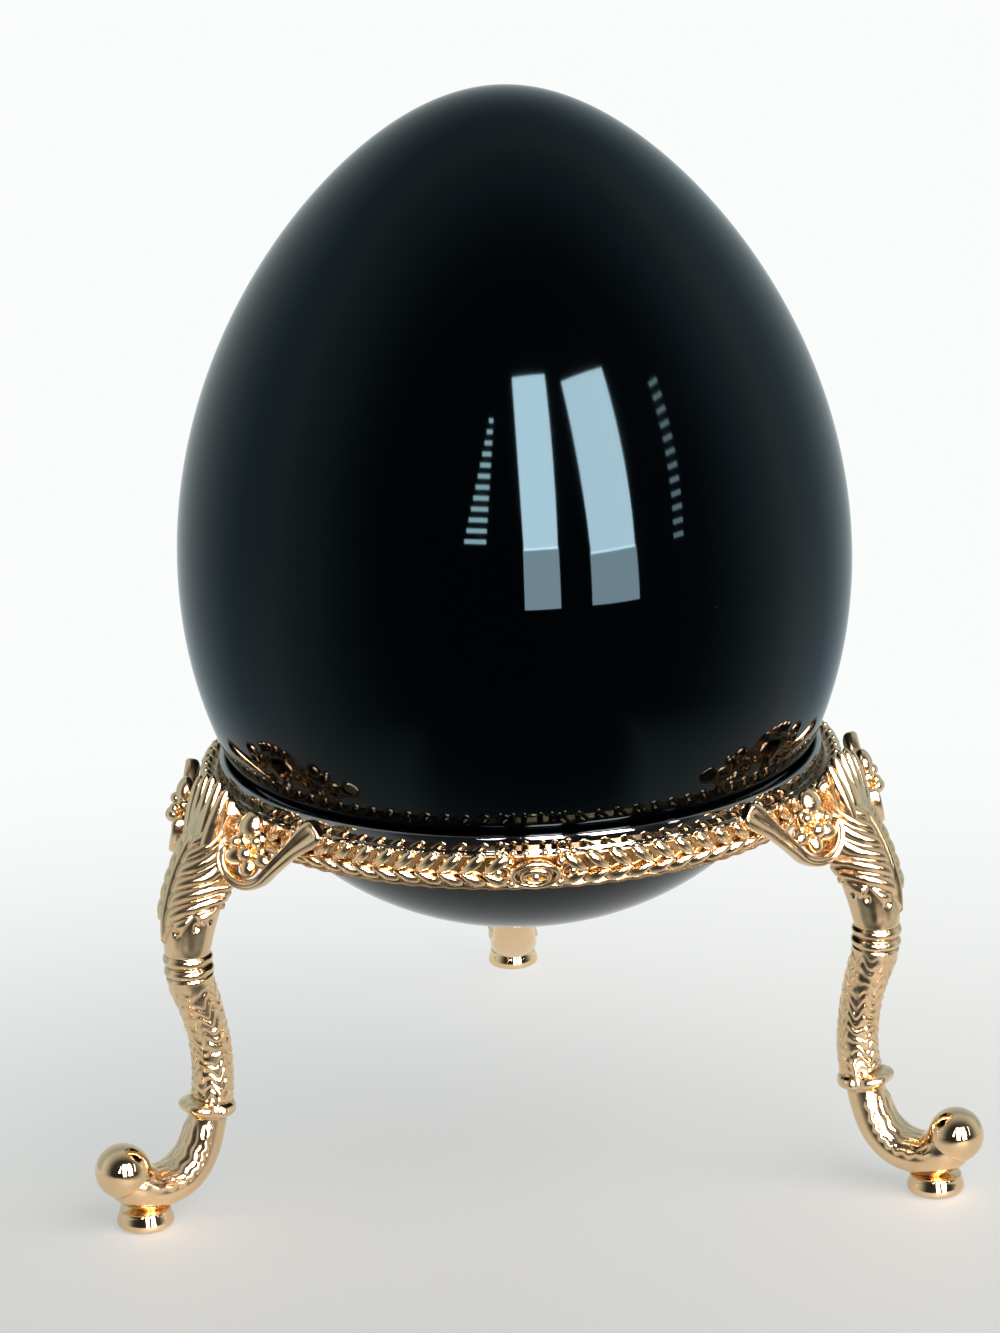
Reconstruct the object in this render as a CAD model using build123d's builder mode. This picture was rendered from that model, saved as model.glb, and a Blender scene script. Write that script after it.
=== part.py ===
"""A polished glass egg on a cast stand: a seat ring with a laurel band, three cabriole legs
with scroll brackets, and a turned pad under each foot. Millimetres, +Z up. The origin is where
the egg's axis meets the floor, and the rear leg stands on +Y."""

from build123d import *
import math
import os

os.makedirs("parts", exist_ok=True)

# Egg: the three shape factors draw the outline in towards the pointed upper end
EGG_WIDTH = 60.0
EGG_LENGTH = 75.0
EGG_TAPER = -0.126
EGG_FLATTEN = -0.024
EGG_POINT = -0.068
EGG_OUTLINE_POINTS = 17

# Seat ring: a flared ring whose upstanding lip carries the egg
LIP_TOP = 36.9
LIP_WIDTH = 0.75
LIP_HEIGHT = 1.3
SEAT_RISE = 16.1
SEAT_CLEARANCE = 0.1
RING_DEPTH = 4.6
RING_FOOT_WIDTH = 1.15
RING_RELIEF = 0.95

# Laurel band: the decorated strip round the outside of the seat ring
BAND_DROP = 1.35
BAND_FLARE = 1.85
BAND_THICKNESS = 1.2
BAND_RIM = 0.3
MEDALLION_WIDTH = 3.9
MEDALLION_HEIGHT = 2.5
MEDALLION_RISE = 0.55
MEDALLION_HEART = 0.6
FLANK_ANGLE = 6.4
FLANK_RADIUS = 1.05
LEAF_LENGTH = 2.3
LEAF_WIDTH = 0.85
LEAF_RISE = 0.5
LEAF_ROOT = 0.3
LEAF_TAPER = 24.0
LEAF_SLANT = 42.0
LEAF_SPREAD = 0.85
LEAF_PITCH = 3.25
LEAF_START = 26.8
LEAVES_PER_SIDE = 8

# Legs: bosses on the band carry them, and each size is square to the leg's own line
LEG_AZIMUTHS = {"rear": 90.0, "left": 210.0, "right": 330.0}
BOSS_PROUD = 0.35
BOSS_WIDTH = 3.2
BOSS_HEIGHT = 2.2
BOSS_DROP = 2.75
BOSS_CORNER = 0.6
KNEE_WIDTH = 5.2
KNEE_OUT = 4.25
KNEE_DROP = 6.9
KNEE_FLUTES = 12
FLUTE_DEPTH = 0.3
FAN_WIDTH = 4.9
FAN_DEPTH = 2.3
FAN_OUT = 1.75
FAN_RISE = 2.2
FAN_LEAN = 0.4
UPRIGHT_HEIGHT = 2.8
UPRIGHT_DEPTH = 3.35
BEND_DROP = 3.8
FAN_LOBES = 5
LOBE_RADIUS = 0.72
LOBE_ROOT_RADIUS = 0.4
LOBE_ROOT_OUT = 1.6
LOBE_ROOT_RISE = 0.8
LOBE_ROOT_SPREAD = 1.5
LOBE_DIP = 0.45
VASE_WIDTH = 4.8
VASE_OUT = 5.25
VASE_DROP = 9.8
NECK_WIDTH = 4.0
NECK_OUT = 5.6
NECK_DROP = 12.7
NECK_BEAD_WIDTH = 4.4
NECK_BEAD_HEIGHT = 1.05
NECK_BEADS = 2
SHANK_WIDTH = 3.2
SHANK_OUT = 3.8
SHANK_EASE = 0.1
SHANK_BENDS = (0.15, 0.34, 0.6, 0.82)
ANKLE_WIDTH = 3.4
ANKLE_OUT = 4.3
ANKLE_HEIGHT = 9.5
COLLAR_WIDTH = 4.9
COLLAR_HEIGHT = 1.0
CURL_THICKNESS = 3.4
CURL_SPREAD = 0.6
HEEL_BACK = 5.1
HEEL_RISE = 1.7
ARCH_BACK = 3.4
ARCH_RISE = 0.45
SOLE_BACK = 1.5
TOE_RISE = 0.25
FOOT_REACH = 11.15
SOLE_SINK = 0.2
SPIGOT = 0.4
SHANK_STEPS = 9
CURL_STEPS = 14
BEAD_STEPS = 6
BALL_RADIUS = 2.45
BALL_HEIGHT = 5.5
BALL_OUT = 1.9
BALL_BLEND = 0.97

# Foot pads
PAD_RADIUS = 2.53
PAD_TOP_RADIUS = 2.25
PAD_HEIGHT = 1.6
PAD_ROUND = 0.45
PAD_HOLLOW = 0.08

# Scroll brackets: a hooked strap and a flower on each side of every knee
SCROLL_NEAR_ANGLE = 4.0
SCROLL_NEAR_OUT = 4.6
SCROLL_FAR_ANGLE = 22.7
SCROLL_LEAN = 12.0
SCROLL_TIP_RISE = 0.2
SCROLL_TIP_RADIUS = 0.8
HOOK_OUT = 4.2
HOOK_DROP = 3.1
HOOK_RADIUS = 2.3
HOOK_TURN = 140.0
STRAP_WIDTH = 1.9
STRAP_THICKNESS = 0.95
TAB_HEIGHT = 1.5
FLOWER_OUT = 4.5
FLOWER_DROP = 2.6
FLOWER_PETALS = 6
PETAL_CIRCLE = 1.3
PETAL_RADIUS = 0.85
FLOWER_THICKNESS = 2.4
HEART_RADIUS = 0.7
CREST_RISE = 2.3
CREST_RADIUS = 1.0

# Screws that hold the legs to the ring
SCREW_RADIUS = 0.8
SCREW_HEAD_RADIUS = 1.4
SCREW_HEAD_ANGLE = 82.0
SCREW_RECESS = 0.6
SCREW_GRIP = 2.6
SCREW_CLEARANCE = 0.05

# Places worked out from those sizes
EGG_BOTTOM = LIP_TOP - SEAT_RISE


def egg_swell(share):
    """Half width of the outline at a share of the half length, from -1 below to 1 on top."""
    taper = 1 + EGG_TAPER * share + EGG_FLATTEN * share**2 + EGG_POINT * share**3
    return math.sqrt(1 - share**2) * taper


EGG_FULLEST = max(egg_swell(step / 100) for step in range(-99, 100))


def egg_radius(rise):
    """Radius of the egg at a height above its lower end."""
    return EGG_WIDTH / 2 * egg_swell(2 * rise / EGG_LENGTH - 1) / EGG_FULLEST


LIP_INNER = egg_radius(SEAT_RISE) + SEAT_CLEARANCE
LIP_OUTER = LIP_INNER + LIP_WIDTH
RING_BOTTOM = LIP_TOP - RING_DEPTH
RING_SHOULDER = LIP_TOP - LIP_HEIGHT
RING_INNER_FOOT = egg_radius(RING_BOTTOM - EGG_BOTTOM) + RING_RELIEF
RING_OUTER_FOOT = RING_INNER_FOOT + RING_FOOT_WIDTH
BAND_TOP = LIP_TOP - BAND_DROP
BAND_OUTER_FOOT = RING_OUTER_FOOT + BAND_THICKNESS
BAND_OUTER_TOP = BAND_OUTER_FOOT + BAND_FLARE
BAND_SLOPE = BAND_FLARE / (BAND_TOP - RING_BOTTOM)
RING_OUTER_SHOULDER = RING_OUTER_FOOT + BAND_SLOPE * (RING_SHOULDER - RING_BOTTOM)
BOSS_FACE = BAND_OUTER_TOP + BOSS_PROUD
BOSS_CENTRE = LIP_TOP - BOSS_DROP
WALL_SLOPE = (LIP_INNER - RING_INNER_FOOT) / RING_DEPTH
SCREW_SEAT = RING_INNER_FOOT + WALL_SLOPE * (BOSS_CENTRE - RING_BOTTOM) + SCREW_RECESS
NECK_HEIGHT = LIP_TOP - NECK_DROP
PAD_CIRCLE = BOSS_FACE + FOOT_REACH
PAD_WAIST = (PAD_TOP_RADIUS + PAD_HOLLOW, (PAD_ROUND + PAD_HEIGHT) / 2)


def radial_point(azimuth, out, height):
    """Point at a distance from the egg's axis, in the upright plane at an azimuth."""
    turn = math.radians(azimuth)
    return Vector(out * math.cos(turn), out * math.sin(turn), height)


def outward(azimuth):
    """Level direction away from the egg's axis."""
    return radial_point(azimuth, 1, 0)


def sideways(azimuth):
    """Level direction across a leg, anticlockwise seen from above."""
    return radial_point(azimuth + 90, 1, 0)


def section_planes(centres):
    """Planes square to a line of centres (distance out, height) over +X, one at each centre."""
    planes = []
    for index, (out, height) in enumerate(centres):
        before = centres[max(index - 1, 0)]
        after = centres[min(index + 1, len(centres) - 1)]
        along = (after[0] - before[0], 0, after[1] - before[1])
        planes.append(Plane((out, 0, height), (0, 1, 0), along))
    return planes


def oval_point(width, depth, angle):
    """Point on an oval at an angle in degrees."""
    turn = math.radians(angle)
    return (width / 2 * math.cos(turn), depth / 2 * math.sin(turn))


def save(builder, name):
    """Label a finished piece and write it to its own file."""
    builder.part.label = name
    export_step(builder.part, f"parts/{name}.step")


# Egg
egg_outline = []
for step in range(EGG_OUTLINE_POINTS):
    share = -math.cos(math.pi * step / (EGG_OUTLINE_POINTS - 1))
    rise = EGG_LENGTH * (1 + share) / 2
    egg_outline.append((egg_radius(rise), EGG_BOTTOM + rise))

with BuildPart() as egg:
    with BuildSketch(Plane.XZ):
        with BuildLine():
            side = Spline(*egg_outline)
            Line(side @ 1, side @ 0)
        make_face()
    revolve(axis=Axis.Z)
save(egg, "egg")


# Seat ring, with a countersunk hole for each leg's screw
def screw_plane(azimuth, out):
    """Upright plane across a leg's screw at a distance out, facing the egg."""
    return Plane(radial_point(azimuth, out, BOSS_CENTRE), sideways(azimuth), outward(azimuth) * -1)


def drill_for_screw():
    """Countersunk hole through the ring, the band and its boss."""
    CounterSinkHole(
        SCREW_RADIUS + SCREW_CLEARANCE,
        SCREW_HEAD_RADIUS + SCREW_CLEARANCE,
        depth=BOSS_FACE - SCREW_SEAT + BOSS_PROUD,
        counter_sink_angle=SCREW_HEAD_ANGLE,
    )


with BuildPart() as seat_ring:
    with BuildSketch(Plane.XZ):
        with BuildLine():
            Polyline(
                (LIP_INNER, LIP_TOP),
                (RING_INNER_FOOT, RING_BOTTOM),
                (RING_OUTER_FOOT, RING_BOTTOM),
                (RING_OUTER_SHOULDER, RING_SHOULDER),
                (LIP_OUTER, RING_SHOULDER),
                (LIP_OUTER, LIP_TOP - LIP_WIDTH),
            )
            RadiusArc((LIP_OUTER, LIP_TOP - LIP_WIDTH), (LIP_INNER, LIP_TOP), -LIP_WIDTH)
        make_face()
    revolve(axis=Axis.Z)
    for leg_azimuth in LEG_AZIMUTHS.values():
        with BuildSketch(screw_plane(leg_azimuth, SCREW_SEAT)):
            Circle(SCREW_HEAD_RADIUS + SCREW_CLEARANCE)
        extrude(amount=RING_DEPTH, mode=Mode.SUBTRACT)
        with Locations(screw_plane(leg_azimuth, SCREW_SEAT)):
            drill_for_screw()
save(seat_ring, "seat_ring")

# Laurel band, with an oval medallion in the middle of each span and a boss at each leg
LEAF_TAIL = (-LEAF_LENGTH / 2, 0)
LEAF_TIP = (LEAF_LENGTH / 2, 0)


def band_plane(azimuth, up):
    """Plane on the band's face, a height up from its middle."""
    middle = radial_point(azimuth, (BAND_OUTER_FOOT + BAND_OUTER_TOP) / 2, (RING_BOTTOM + BAND_TOP) / 2)
    rise = outward(azimuth) * BAND_SLOPE + Vector(0, 0, 1)
    return Plane(middle + rise * up, sideways(azimuth), outward(azimuth) - Vector(0, 0, BAND_SLOPE))


def leaf_plane(azimuth, side, hand):
    """Plane just under the band's face along one leaf, which points at the leg."""
    spot = band_plane(azimuth, side * LEAF_SPREAD)
    turned = spot.rotated((0, 0, 90 + hand * (90 - side * LEAF_SLANT)))
    return turned.offset(-LEAF_ROOT)


with BuildPart() as laurel_band:
    with BuildSketch(Plane.XZ):
        with BuildLine():
            Polyline(
                (RING_OUTER_FOOT, RING_BOTTOM),
                (BAND_OUTER_FOOT + BAND_RIM, RING_BOTTOM),
                (BAND_OUTER_FOOT + BAND_RIM + BAND_SLOPE * BAND_RIM, RING_BOTTOM + BAND_RIM),
                (BAND_OUTER_FOOT + 2 * BAND_SLOPE * BAND_RIM, RING_BOTTOM + 2 * BAND_RIM),
                (BAND_OUTER_TOP, BAND_TOP),
                (BAND_OUTER_TOP - BAND_THICKNESS, BAND_TOP),
                close=True,
            )
        make_face()
    revolve(axis=Axis.Z)
    plain_band = laurel_band.part
    for leg_azimuth in LEG_AZIMUTHS.values():
        span_azimuth = leg_azimuth + 180
        medallion_plane = band_plane(span_azimuth, 0)
        with BuildSketch(medallion_plane.offset(-BAND_THICKNESS / 2)):
            Ellipse(MEDALLION_WIDTH / 2, MEDALLION_HEIGHT / 2)
        extrude(amount=BAND_THICKNESS / 2 + MEDALLION_RISE)
        with Locations(medallion_plane.offset(MEDALLION_RISE / 2)):
            Sphere(MEDALLION_HEART)
        for hand in (-1, 1):
            with Locations(band_plane(span_azimuth + hand * FLANK_ANGLE, 0)):
                Sphere(FLANK_RADIUS)
        with BuildSketch(screw_plane(leg_azimuth, BOSS_FACE)):
            RectangleRounded(BOSS_WIDTH, BOSS_HEIGHT, BOSS_CORNER)
        extrude(amount=BOSS_FACE - RING_OUTER_SHOULDER)
        with Locations(screw_plane(leg_azimuth, SCREW_SEAT)):
            drill_for_screw()
    for leg_azimuth in LEG_AZIMUTHS.values():
        for hand in (-1, 1):
            for index in range(LEAVES_PER_SIDE):
                leaf_azimuth = leg_azimuth + hand * (LEAF_START + index * LEAF_PITCH)
                for side in (-1, 1):
                    with BuildSketch(leaf_plane(leaf_azimuth, side, hand)):
                        with BuildLine():
                            ThreePointArc(LEAF_TAIL, (0, LEAF_WIDTH / 2), LEAF_TIP)
                            ThreePointArc(LEAF_TIP, (0, -LEAF_WIDTH / 2), LEAF_TAIL)
                        make_face()
    extrude(amount=LEAF_ROOT + LEAF_RISE, taper=LEAF_TAPER)
save(laurel_band, "laurel_band")


# Lines and girths of a leg. Distances out are from the bosses' faces, or for the curl from the
# pad's axis, and heights are from the lip's edge down the knee and from the floor up the curl.
KNEE_LINE = (
    (FAN_OUT, FAN_RISE),
    (FAN_OUT + FAN_LEAN, FAN_RISE - UPRIGHT_HEIGHT),
    ((FAN_OUT + KNEE_OUT) / 2, -BEND_DROP),
    (KNEE_OUT, -KNEE_DROP),
    (VASE_OUT, -VASE_DROP),
    (NECK_OUT, -NECK_DROP),
)
KNEE_GIRTH = (
    (FAN_WIDTH, FAN_DEPTH),
    (FAN_WIDTH, UPRIGHT_DEPTH),
    ((FAN_WIDTH + KNEE_WIDTH) / 2, (UPRIGHT_DEPTH + KNEE_WIDTH) / 2),
    (KNEE_WIDTH, KNEE_WIDTH),
    (VASE_WIDTH, VASE_WIDTH),
    (NECK_WIDTH, NECK_WIDTH),
)
SHANK_OFFSETS = (
    NECK_OUT - SHANK_EASE,
    (NECK_OUT + SHANK_OUT) / 2,
    SHANK_OUT + SHANK_EASE,
    SHANK_OUT,
)
SHANK_LENGTH = NECK_HEIGHT - ANKLE_HEIGHT
SHANK_LINE = [(BOSS_FACE + NECK_OUT, NECK_HEIGHT)]
for bend, offset in zip(SHANK_BENDS, SHANK_OFFSETS):
    SHANK_LINE.append((BOSS_FACE + offset, NECK_HEIGHT - bend * SHANK_LENGTH))
SHANK_LINE.append((BOSS_FACE + ANKLE_OUT, ANKLE_HEIGHT))
SOLE_CENTRE = PAD_HEIGHT - SOLE_SINK + CURL_THICKNESS / 2
CURL_LINE = (
    (BOSS_FACE + ANKLE_OUT, ANKLE_HEIGHT),
    (PAD_CIRCLE - HEEL_BACK, SOLE_CENTRE + HEEL_RISE),
    (PAD_CIRCLE - ARCH_BACK, SOLE_CENTRE + ARCH_RISE),
    (PAD_CIRCLE - SOLE_BACK, SOLE_CENTRE),
    (PAD_CIRCLE, SOLE_CENTRE + TOE_RISE),
    (PAD_CIRCLE + BALL_OUT, BALL_HEIGHT),
)
ANKLE_LEAN = (0.3, -1)
BALL_LEAN = (0.5, 0.87)


def shank_girth(share):
    """Width of the shank at a share of its length, from the neck to the ankle."""
    neck = (NECK_WIDTH - SHANK_WIDTH) * (1 - share) ** 3
    return SHANK_WIDTH + neck + (ANKLE_WIDTH - SHANK_WIDTH) * share**3


def curl_girth(share):
    """Width and thickness of the curl at a share of its length, from the ankle to the ball."""
    end = 2 * BALL_RADIUS * BALL_BLEND
    width = ANKLE_WIDTH + (end - ANKLE_WIDTH) * min(1, share / CURL_SPREAD)
    swell = max(0, share - CURL_SPREAD) / (1 - CURL_SPREAD)
    return width, CURL_THICKNESS + (end - CURL_THICKNESS) * swell**2


def bead_sections(plane, width, height):
    """Planes and radii of a round-edged bead that starts at a plane."""
    for step in range(BEAD_STEPS + 1):
        turn = math.pi * step / BEAD_STEPS
        rise = height / 2 * (1 - math.cos(turn))
        yield plane.offset(rise), (width - height + height * math.sin(turn)) / 2


def flute_points(width, depth, flute):
    """Valley, crest and next valley of each flute round an oval."""
    step = 360 / KNEE_FLUTES
    for index in range(KNEE_FLUTES):
        start = oval_point(width - 2 * flute, depth - 2 * flute, index * step)
        crest = oval_point(width, depth, (index + 0.5) * step)
        end = oval_point(width - 2 * flute, depth - 2 * flute, (index + 1) * step)
        yield start, crest, end


# One leg over +X: fluted knee under a fan of lobes, beaded neck, slim shank, and curl with a ball
knee_planes = section_planes([(BOSS_FACE + out, LIP_TOP + up) for out, up in KNEE_LINE])
neck_end = knee_planes[-1]

with BuildPart() as leg:
    for index, (width, depth) in enumerate(KNEE_GIRTH):
        fade = 1 - index / (len(KNEE_GIRTH) - 1)
        with BuildSketch(knee_planes[index]):
            with BuildLine():
                for valley, crest, next_valley in flute_points(width, depth, FLUTE_DEPTH * fade):
                    ThreePointArc(valley, crest, next_valley)
            make_face()
    loft()

    for index in range(FAN_LOBES):
        lean = 2 * index / (FAN_LOBES - 1) - 1
        root = Vector(
            BOSS_FACE + KNEE_OUT + LOBE_ROOT_OUT,
            lean * LOBE_ROOT_SPREAD,
            LIP_TOP - KNEE_DROP + LOBE_ROOT_RISE,
        )
        tip = Vector(
            BOSS_FACE + FAN_OUT + LOBE_RADIUS,
            lean * (FAN_WIDTH - LOBE_RADIUS) / 2,
            LIP_TOP + FAN_RISE - LOBE_DIP * lean**2,
        )
        length = (tip - root).length
        with BuildSketch(Plane(root, x_dir=tip - root, z_dir=(tip - root).cross(Vector(0, 1, 0)))):
            with BuildLine():
                Polyline((length + LOBE_RADIUS, 0), (0, 0), (0, LOBE_ROOT_RADIUS), (length, LOBE_RADIUS))
                RadiusArc((length, LOBE_RADIUS), (length + LOBE_RADIUS, 0), LOBE_RADIUS)
            make_face()
        revolve(axis=Axis(root, tip - root))

    with BuildLine(Plane.XZ, mode=Mode.PRIVATE):
        shank = Spline(*SHANK_LINE)
        curl = Spline(*CURL_LINE, tangents=(ANKLE_LEAN, BALL_LEAN))
    sections = [(neck_end.offset(-SPIGOT), NECK_WIDTH / 2 - SPIGOT)]
    for bead in range(NECK_BEADS):
        bead_start = neck_end.offset(bead * NECK_BEAD_HEIGHT)
        sections += list(bead_sections(bead_start, NECK_BEAD_WIDTH, NECK_BEAD_HEIGHT))[min(bead, 1) :]
    neck_share = NECK_BEADS * NECK_BEAD_HEIGHT / shank.length
    for step in range(1, SHANK_STEPS):
        share = neck_share + (1 - neck_share) * step / SHANK_STEPS
        sections.append((Plane(shank @ share, (0, 1, 0), shank % share), shank_girth(share) / 2))
    ankle = Plane(shank @ 1, (0, 1, 0), shank % 1)
    sections += bead_sections(ankle.offset(-COLLAR_HEIGHT / 2), COLLAR_WIDTH, COLLAR_HEIGHT)
    collar_share = COLLAR_HEIGHT / curl.length
    for step in range(CURL_STEPS):
        share = collar_share + (1 - collar_share) * step / (CURL_STEPS - 1)
        width, thickness = curl_girth(share)
        sections.append((Plane(curl @ share, (0, 1, 0), curl % share), width / 2, thickness / 2))
    for plane, *radii in sections:
        with BuildSketch(plane):
            Ellipse(radii[0], radii[-1])
    loft(ruled=True)

    with Locations((PAD_CIRCLE + BALL_OUT, 0, BALL_HEIGHT)):
        Sphere(BALL_RADIUS)
    with BuildSketch(screw_plane(0, BOSS_FACE)):
        RectangleRounded(BOSS_WIDTH, BOSS_HEIGHT, BOSS_CORNER)
    extrude(amount=-KNEE_OUT / 2)
    with Locations(screw_plane(0, BOSS_FACE)):
        Hole(SCREW_RADIUS + SCREW_CLEARANCE, depth=SCREW_GRIP + SCREW_CLEARANCE)
    split(bisect_by=Plane.XY.offset(PAD_HEIGHT), keep=Keep.TOP)

# One foot pad: a short drum with a drawn-in side and a rounded lower edge
with BuildPart() as foot_pad:
    with BuildSketch(Plane.XZ.move(Location((PAD_CIRCLE, 0, 0)))):
        with BuildLine():
            Polyline((0, PAD_HEIGHT), (0, 0), (PAD_RADIUS - PAD_ROUND, 0))
            RadiusArc((PAD_RADIUS - PAD_ROUND, 0), (PAD_RADIUS, PAD_ROUND), -PAD_ROUND)
            ThreePointArc((PAD_RADIUS, PAD_ROUND), PAD_WAIST, (PAD_TOP_RADIUS, PAD_HEIGHT))
            Line((PAD_TOP_RADIUS, PAD_HEIGHT), (0, PAD_HEIGHT))
        make_face()
    revolve(axis=Axis((PAD_CIRCLE, 0, 0), (0, 0, 1)))


# One pair of scroll brackets: each is a hooked strap from the knee to the band's top edge, and
# carries a flower in its hook
def build_scroll(hand):
    """The scroll bracket on one side of the leg over +X."""
    hook_level = LIP_TOP - HOOK_DROP
    tip_up = HOOK_DROP + SCROLL_TIP_RISE
    lean = math.tan(math.radians(SCROLL_LEAN))
    near = radial_point(hand * SCROLL_NEAR_ANGLE, BOSS_FACE + SCROLL_NEAR_OUT, hook_level)
    far_out = BAND_OUTER_TOP + STRAP_WIDTH / 2 + lean * tip_up
    along = radial_point(hand * SCROLL_FAR_ANGLE, far_out, hook_level) - near
    middle_azimuth = hand * (SCROLL_NEAR_ANGLE + SCROLL_FAR_ANGLE) / 2
    face = Plane(near, along, along.cross(Vector(0, 0, 1) - outward(middle_azimuth) * lean))
    flower_heart = face.from_local_coords((FLOWER_OUT, HOOK_DROP - FLOWER_DROP, 0))
    flower_plane = Plane(flower_heart, along, face.z_dir * hand)
    with BuildPart() as scroll:
        with BuildSketch(face):
            with BuildLine():
                hook = JernArc((HOOK_OUT - HOOK_RADIUS, 0), (0, -1), HOOK_RADIUS, HOOK_TURN)
                TangentArc(hook @ 1, (along.length, tip_up), tangent=hook % 1)
            trace(line_width=STRAP_THICKNESS)
            with Locations((along.length, tip_up)):
                Circle(SCROLL_TIP_RADIUS)
            with Locations(((HOOK_OUT - HOOK_RADIUS) / 2, 0)):
                Rectangle(HOOK_OUT - HOOK_RADIUS + STRAP_THICKNESS, TAB_HEIGHT)
        extrude(amount=STRAP_WIDTH / 2, both=True)
        with BuildSketch(flower_plane):
            Circle(PETAL_CIRCLE)
            with PolarLocations(PETAL_CIRCLE, FLOWER_PETALS):
                Circle(PETAL_RADIUS)
            with Locations((0, CREST_RISE * hand)):
                Circle(CREST_RADIUS)
        extrude(amount=FLOWER_THICKNESS / 2, both=True)
        with Locations(flower_plane.offset(FLOWER_THICKNESS / 2)):
            Sphere(HEART_RADIUS)
        add(leg.part, mode=Mode.SUBTRACT)
        add(plain_band, mode=Mode.SUBTRACT)
    return scroll


scroll_a = build_scroll(1)
scroll_b = build_scroll(-1)

# The three of each, turned about the egg's axis to their places
for leg_name, leg_azimuth in LEG_AZIMUTHS.items():
    for piece, piece_name in (
        (leg, f"leg_{leg_name}"),
        (foot_pad, f"foot_pad_{leg_name}"),
        (scroll_a, f"scroll_{leg_name}_a"),
        (scroll_b, f"scroll_{leg_name}_b"),
    ):
        with BuildPart() as placed:
            add(piece.part, rotation=(0, 0, leg_azimuth))
        save(placed, piece_name)

# Leg screws
with BuildPart() as leg_screws:
    head_height = (SCREW_HEAD_RADIUS - SCREW_RADIUS) / math.tan(math.radians(SCREW_HEAD_ANGLE / 2))
    for leg_azimuth in LEG_AZIMUTHS.values():
        head_plane = screw_plane(leg_azimuth, SCREW_SEAT)
        with BuildSketch(head_plane):
            Circle(SCREW_HEAD_RADIUS)
        with BuildSketch(head_plane.offset(-head_height)):
            Circle(SCREW_RADIUS)
        loft()
        with BuildSketch(head_plane.offset(-head_height)):
            Circle(SCREW_RADIUS)
        extrude(amount=-(BOSS_FACE + SCREW_GRIP - SCREW_SEAT - head_height))
save(leg_screws, "leg_screws")
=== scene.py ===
from functools import lru_cache
import math

import bmesh
import bpy
from mathutils import Matrix, Vector


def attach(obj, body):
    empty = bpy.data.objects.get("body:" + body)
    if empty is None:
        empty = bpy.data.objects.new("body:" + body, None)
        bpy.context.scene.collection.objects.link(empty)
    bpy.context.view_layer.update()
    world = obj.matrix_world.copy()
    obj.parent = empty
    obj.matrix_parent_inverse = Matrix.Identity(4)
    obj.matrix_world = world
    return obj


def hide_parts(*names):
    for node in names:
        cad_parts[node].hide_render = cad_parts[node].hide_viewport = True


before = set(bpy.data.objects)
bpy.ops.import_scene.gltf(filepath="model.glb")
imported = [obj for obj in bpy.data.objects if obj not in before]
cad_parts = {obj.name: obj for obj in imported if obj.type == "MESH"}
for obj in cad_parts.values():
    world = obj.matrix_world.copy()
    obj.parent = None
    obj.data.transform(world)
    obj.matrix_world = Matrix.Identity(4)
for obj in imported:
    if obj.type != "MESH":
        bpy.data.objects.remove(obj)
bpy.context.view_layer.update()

# Lengths of the pieces are in millimetres and angles in degrees, as in the part's source, and a
# finished mesh is brought to metres. The floor, the room and the lamps are in metres.
MM = 0.001
# Vertices of a skin that are closer than this are joined
MERGE = 0.0005

# Egg, with the three terms that bend an oval to its outline
EGG_WIDTH = 60.0
EGG_LENGTH = 75.0
EGG_BOTTOM = 20.8
EGG_TAPER = -0.126
EGG_FLATTEN = -0.024
EGG_POINT = -0.068

# Seat ring and its lip
LIP_TOP = 36.9
LIP_WIDTH = 0.75
LIP_HEIGHT = 1.3
LIP_STEP = 0.05
SEAT_CLEARANCE = 0.1
RING_DEPTH = 4.6
RING_FOOT_WIDTH = 1.15
RING_RELIEF = 0.95
RING_ROUND = 0.15

# Laurel band; places across its face run from 0 at its foot to 1 at its top
BAND_DROP = 1.35
BAND_FLARE = 1.85
BAND_THICKNESS = 1.2
RIM_SCALLOPS = 96
LEAF_PITCH = 1.95
LEAF_LENGTH = 2.9
LEAF_WIDTH = 1.2
LEAF_HEIGHT = 1.5
LEAF_SLANT = 37.0
LEAF_TILT = 13.0
LEAF_START = 59.0
LEAF_MIDDLE = 0.55
LEAF_ROW = 0.24
LEAVES_PER_HALF_SPAN = 14
BERRY_RADIUS = 0.34
BERRY_ACROSS = 0.98
BERRY_LIFT = -0.25
BERRY_SHIFT = 0.35
SMALL_FACETS = (8, 6)

# Medallions: (share of the full size, lift) of the two rings, and what flanks them
MEDALLION_WIDTH = 3.9
MEDALLION_HEIGHT = 2.7
MEDALLION_ACROSS = 0.52
MEDALLION_RINGS = ((1.0, 0.25), (0.58, 0.45))
MEDALLION_RING = 0.28
OVAL_RISE = 1.3
FLANK_ANGLE = 6.4
FLANK_ACROSS = 0.56
FLANK_RING = 0.24
FLANK_BERRIES = (0.25, 0.6, 1.0)
CORNER_ANGLE = 4.3
CORNER_ACROSS = 0.36
CORNER_RADIUS = 0.42

# Legs and pads
LEG_AZIMUTHS = {"rear": 90.0, "left": 210.0, "right": 330.0}
BOSS_PROUD = 0.35
FOOT_REACH = 11.15
PAD_RADIUS = 2.53
PAD_TOP_RADIUS = 2.25
PAD_HEIGHT = 1.6
PAD_ROUND = 0.45
BALL_RADIUS = 2.45
BALL_HEIGHT = 5.5
BALL_OUT = 1.9

# Fan over the knee: root and tip of the outer lobes, before the arch lowers them
FAN_LOBES = 5
FAN_ROOT = Vector((33.7, 1.1, 31.6))
FAN_TIP = Vector((31.3, 2.4, 39.3))
FAN_ARCH = 0.6
FAN_OVERLAP = 0.6
FAN_FACETS = (20, 18)

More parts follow.
